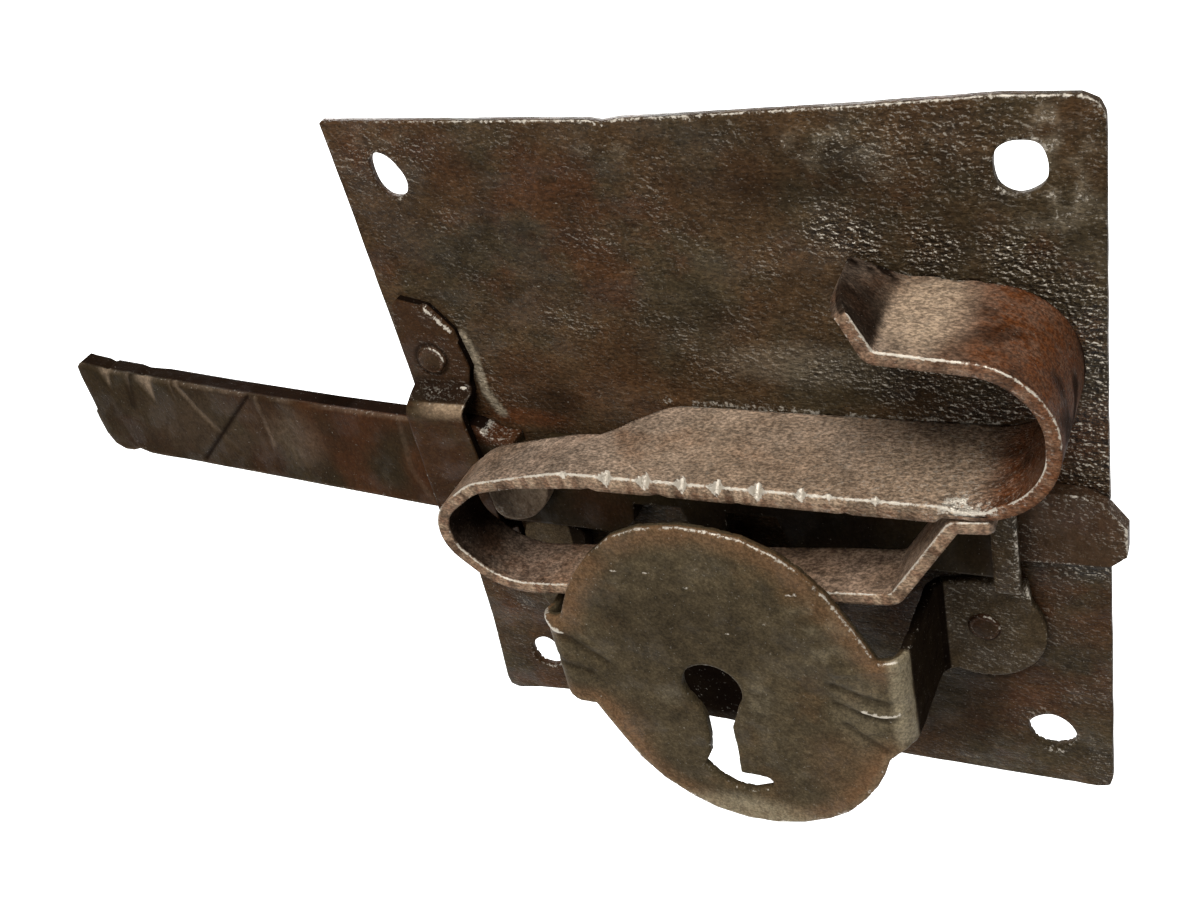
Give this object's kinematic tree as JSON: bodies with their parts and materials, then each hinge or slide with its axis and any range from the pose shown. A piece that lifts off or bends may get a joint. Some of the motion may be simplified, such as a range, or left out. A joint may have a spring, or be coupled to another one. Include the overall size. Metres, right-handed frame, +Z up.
{
  "type": "plate lock",
  "caption": "Hand-forged iron door lock on a square plate, with a sliding bolt, a folded spring tumbler and an oval key cover.",
  "frame": {"origin": "middle of the lock plate's back face, which lies against the door", "axes": "+X along the bolt, away from its thrown end; +Z up; the works stand out from the plate towards -Y"},
  "size_m": [0.2334, 0.03, 0.15],
  "materials": {
    "plate_iron": "forged, dark brown patina",
    "bolt_iron": "forged, rubbed olive grey",
    "strip_iron": "forged, rubbed edges",
    "cover_iron": "forged, dark centre and brown rim",
    "staple_iron": "forged, dark brown patina",
    "rivet_iron": "hammered, dark brown",
    "ward_iron": "dark, unrubbed"
  },
  "bodies": {
    "plate": {"lock_plate": "plate_iron", "left_staple": "staple_iron", "key_cover": "cover_iron", "ward_ring": "ward_iron", "left_staple_upper_rivet": "rivet_iron", "left_staple_lower_rivet": "rivet_iron", "cover_left_foot_rivet": "rivet_iron", "cover_right_foot_rivet": "rivet_iron"},
    "bolt": {"bolt": "bolt_iron", "bolt_stop": "bolt_iron"},
    "tumbler": {"spring_tumbler": "strip_iron", "catch_lug": "strip_iron"}
  },
  "joints": [
    {"name": "bolt_slide", "type": "slide", "parent": "plate", "child": "bolt", "axis": [1, 0, 0], "range_m": [0, 0.04]},
    {"name": "tumbler_lift", "type": "hinge", "parent": "plate", "child": "tumbler", "pos_m": [0.0457, -0.014, 0.0424], "axis": [0, 1, 0], "range_deg": [-2.3, 5], "stiffness_Nm_per_rad": 2, "springref_deg": -6.88}
  ]
}
